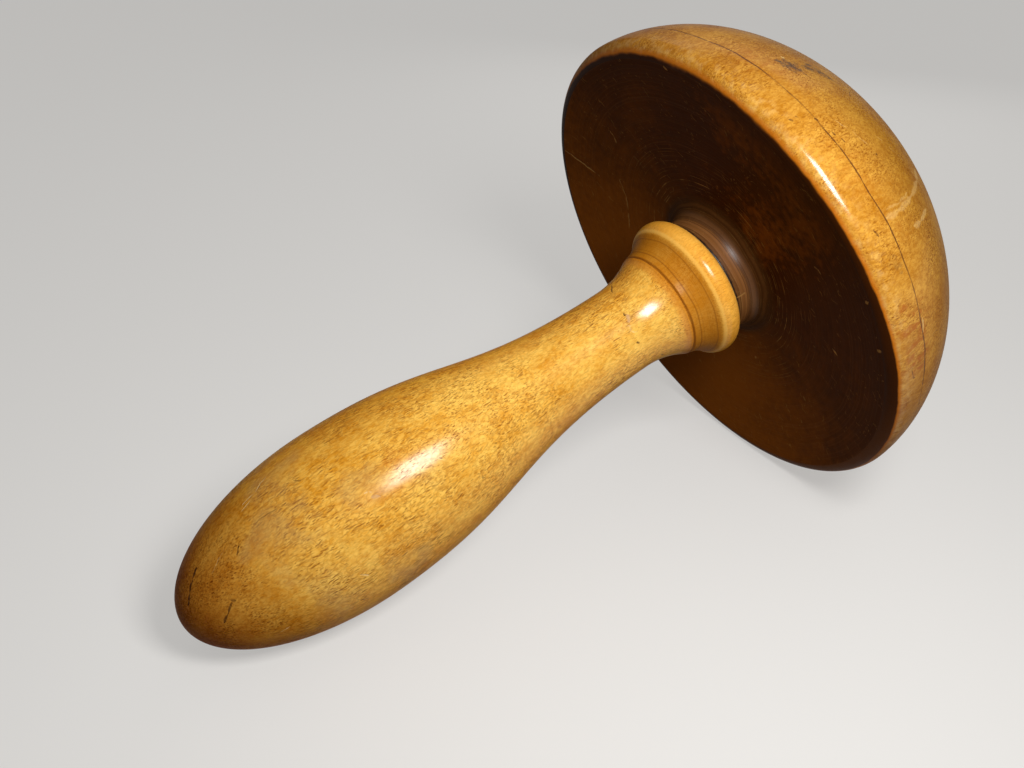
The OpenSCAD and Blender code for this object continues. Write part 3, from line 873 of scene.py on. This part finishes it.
def makeCollarMaterial(c):
    made, tree, shader, here, wood = startHandle("varnished collar", c)
    place, along, radius = here["Place"], here["Along"], here["Radius"]
    # painted shade away from the lit side
    colour = shadeAwayFromLight(tree, place, wood["Colour"], c["sideShade"])
    onBead = ease(tree, along, *c["beadAt"])
    colour = blend(tree, calc(tree, "MULTIPLY", onBead, 0.6), colour, c["bead"])
    inCove = calc(tree, "MULTIPLY", ease(tree, along, *c["coveAt"]), calc(tree, "SUBTRACT", 1.0, onBead))
    colour = blend(tree, calc(tree, "MULTIPLY", inCove, 0.8), colour, c["cove"])
    glow = ease(tree, calc(tree, "ABSOLUTE", calc(tree, "SUBTRACT", along, c["glowAt"])), 1.3, 0.2)
    colour = blend(tree, calc(tree, "MULTIPLY", glow, 0.55), colour, c["orange"])
    ring = use(tree, ringMark, {
        "Place": place, "Along": along, "Radius": radius, "At Height": c["ringHeight"],
        "At Radius": c["ringRadius"], "Width": c["ringWidth"], "Ragged": 0.08})["Mask"]
    colour = blend(tree, calc(tree, "MULTIPLY", ring, 0.5), colour, c["ring"])
    # A painted highlight runs along the crest of the bead.
    fromCrest = calc(tree, "ABSOLUTE", calc(tree, "SUBTRACT", along, c["crestAt"]))
    rubbedAndLit = ease(tree, fromCrest, 0.35, 0.05, 0.0, 0.5)
    colour = blend(tree, rubbedAndLit, colour, c["crest"])
    lip = calc(tree, "MULTIPLY", ease(tree, along, *c["lipAt"]),
               ease(tree, noise(tree, place, 0.4, 3), 0.35, 0.6, 0.35, 0.9))
    colour = blend(tree, lip, colour, c["lip"])
    lines = use(tree, latheLines, {"Number": along, "Place": place, "Pitch": 0.36})["Value"]
    lined = calc(tree, "MULTIPLY", ease(tree, lines, 0.5, 0.7), inCove)
    colour = blend(tree, calc(tree, "MULTIPLY", lined, 0.5), colour, c["ring"])
    turning = calc(tree, "MULTIPLY", lines, ease(tree, along, *c["linesAt"], 0.0, 0.015))
    colour, cuts = markHandle(tree, place, colour, collarMarks, c)
    grain = calc(tree, "MULTIPLY", wood["Height"], ease(tree, along, *c["smoothAt"], 1.0, 0.3))
    height = calc(tree, "ADD", calc(tree, "ADD", grain, turning), cuts)
    # The varnish has worn off the cove, and some of it off the bead.
    worn = calc(tree, "MULTIPLY", ease(tree, along, *c["bareCove"], 0.0, 0.95),
                ease(tree, along, *c["bareBead"], 1.0, 0.5))
    varnish(tree, shader, c["coat"], strongest(tree, [worn, calc(tree, "MULTIPLY", wood["Fleck"], 0.45)]))
    finish(tree, shader, colour, calc(tree, "MULTIPLY_ADD", wood["Fleck"], 0.12, c["rough"]), height)
    return made


def handleSide(r, z):
    # the peg's hole and the joint face are bare
    h = handleShape
    inHole = r < h["hole"] + h["holeEdge"] / 2 and z > -h["holeDeep"] - 0.5
    if inHole or z > -h["gap"] - 0.05:
        return 2
    return 1 if z > h["collarTo"] else 0


turnOnLathe("handle_turned", handleOutline(handleShape), handleShape["slices"], "handle", "handle",
            [makeGripMaterial(handleFinish), makeCollarMaterial(handleFinish), bareWood], handleSide)

# The peg keeps its solid, and shows when the cap is pulled off.
pegPiece = next(o for o in bpy.data.objects if o.type == "MESH" and o.name == "peg")
for holder in pegPiece.material_slots:
    holder.material = bareWood
print("peg finished")

# Floor, camera and lights.

floorFinish = {
    "reach": 3.0, "seen": (0.34, 0.33, 0.315, 1), "thrown": (0.15, 0.143, 0.136, 1), "glow": 0.45,
    "glowColour": (1.0, 0.98, 0.95, 1),
}
floorMesh = bpy.data.meshes.new("floor")
bm = bmesh.new()
bmesh.ops.create_grid(bm, x_segments=1, y_segments=1, size=floorFinish["reach"])
bm.to_mesh(floorMesh)
bm.free()
floor = bpy.data.objects.new("floor", floorMesh)
bpy.context.scene.collection.objects.link(floor)
floorPaint, tree, shader = newMaterial("pale floor", {"Roughness": 0.8, "Specular IOR Level": 0.2})
ray = put(tree, "LightPath", {}, {}).outputs
shown = strongest(tree, [ray["Is Camera Ray"], ray["Is Glossy Ray"], ray["Is Transmission Ray"]])
feed(tree, shader.inputs["Base Color"], blend(tree, shown, floorFinish["thrown"], floorFinish["seen"]))
shader.inputs["Emission Color"].default_value = floorFinish["glowColour"]
feed(tree, shader.inputs["Emission Strength"], calc(tree, "MULTIPLY", shown, floorFinish["glow"]))
floorMesh.materials.append(floorPaint)

cameraSpot = {"at": (-77.65, -112.18, 115.11), "turn": 31.83, "down": 33.01, "lens": 35.156}
camera = bpy.data.objects.new("camera", bpy.data.cameras.new("camera"))
camera.location = Vector(cameraSpot["at"]) * mm
camera.rotation_euler = (radians(90 - cameraSpot["down"]), 0, radians(-cameraSpot["turn"]))
camera.data.lens = cameraSpot["lens"]
camera.data.sensor_width = 36
camera.data.clip_start = 0.005
bpy.context.scene.collection.objects.link(camera)
bpy.context.scene.camera = camera

# One softbox stands beside the camera, a little above it and to its right. A large weak one behind the
# mushroom and the world fill the shadows.
softbox = {"at": (-14.0, -100.0, 136.0), "aim": (0, 0, 35), "size": 46, "power": 0.24}
fill = {"at": (190.0, 150.0, 150.0), "aim": (0, 0, 35), "size": 220, "power": 0.09}
for name, light in (("softbox", softbox), ("fill", fill)):
    lampData = bpy.data.lights.new(name, "AREA")
    lampData.shape = "SQUARE"
    lampData.size = light["size"] * mm
    lampData.energy = light["power"]
    lamp = bpy.data.objects.new(name, lampData)
    lampWay = (Vector(light["at"]) - Vector(light["aim"])).normalized()
    lamp.location = Vector(light["at"]) * mm
    lamp.rotation_euler = lampWay.to_track_quat("Z", "Y").to_euler()
    lamp.visible_camera = False
    bpy.context.scene.collection.objects.link(lamp)

sky = {"colour": (1, 1, 1, 1), "power": 0.16}
world = bpy.data.worlds.new("studio")
bpy.context.scene.world = world
world.use_nodes = True
background = world.node_tree.nodes["Background"].inputs
background["Color"].default_value = sky["colour"]
background["Strength"].default_value = sky["power"]
print("floor, camera and lights placed")

bpy.context.scene.view_settings.view_transform = "Standard"
